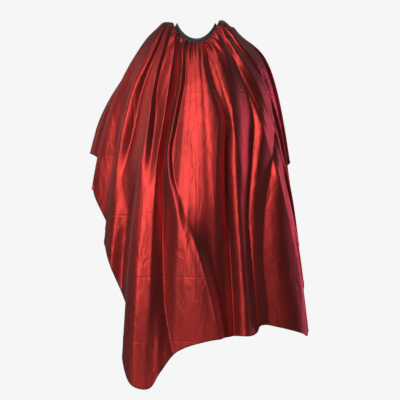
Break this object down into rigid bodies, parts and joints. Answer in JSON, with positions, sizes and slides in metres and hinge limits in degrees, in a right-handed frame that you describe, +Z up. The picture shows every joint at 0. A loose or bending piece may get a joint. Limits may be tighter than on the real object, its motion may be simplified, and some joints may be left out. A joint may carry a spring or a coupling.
{
  "type": "barber cape",
  "caption": "Satin barber cape draped as worn: gathered on a ribbed neckband, slit at the back, with a press-stud closure tab.",
  "frame": {"origin": "centre of the neck opening", "axes": "+Z up; the wearer faces -Y; +X is the right-hand side seen from the front"},
  "size_m": [0.6999, 0.4406, 1.1862],
  "materials": {
    "satin": "shiny two-tone satin, red with a brown cast",
    "binding": "black rolled overlock hem and piping",
    "knit": "charcoal ribbed knit",
    "lining": "dark brushed knit",
    "webbing": "dark woven tape",
    "nickel": "nickel-plated pressed metal",
    "label": "plain white woven tape, blank"
  },
  "bodies": {
    "root": {"cape_body": "satin", "hem_body": "binding", "neckband_knit_body": "knit", "neckband_lining_body": "lining", "neckband_piping_body": "binding"},
    "right_flap": {"cape_right_flap": "satin", "hem_right_flap": "binding", "neckband_knit_right_end": "knit", "neckband_lining_right_end": "lining", "neckband_piping_right_end": "binding", "tab_anchor": "webbing"},
    "left_flap": {"cape_left_flap": "satin", "hem_left_flap": "binding", "neckband_knit_left_end": "knit", "neckband_lining_left_end": "lining", "neckband_piping_left_end": "binding", "care_label": "label", "stud_1": "nickel", "stud_2": "nickel", "stud_3": "nickel", "stud_4": "nickel", "stud_eyelet_1": "nickel", "stud_eyelet_2": "nickel", "stud_eyelet_3": "nickel", "stud_eyelet_4": "nickel"},
    "closure_tab": {"closure_tab": "webbing", "socket_1": "nickel", "socket_2": "nickel", "socket_cap_1": "nickel", "socket_cap_2": "nickel"}
  },
  "joints": [
    {"name": "right_flap_fold", "type": "hinge", "parent": "root", "child": "right_flap", "pos_m": [0.06259, 0.03672, 0.00226], "axis": [0.3355, 0.2096, -0.9184], "range_deg": [0, 100]},
    {"name": "left_flap_fold", "type": "hinge", "parent": "root", "child": "left_flap", "pos_m": [-0.06259, 0.03672, 0.00226], "axis": [0.3355, -0.2096, 0.9184], "range_deg": [0, 40]},
    {"name": "tab_peel", "type": "hinge", "parent": "right_flap", "child": "closure_tab", "pos_m": [0.00837, 0.06895, -0.02556], "axis": [0.0448, 0.3931, -0.9184], "range_deg": [0, 90]}
  ],
  "couplings": [
    {"joint": "left_flap_fold", "follows": "right_flap_fold", "ratio": 0.4}
  ]
}
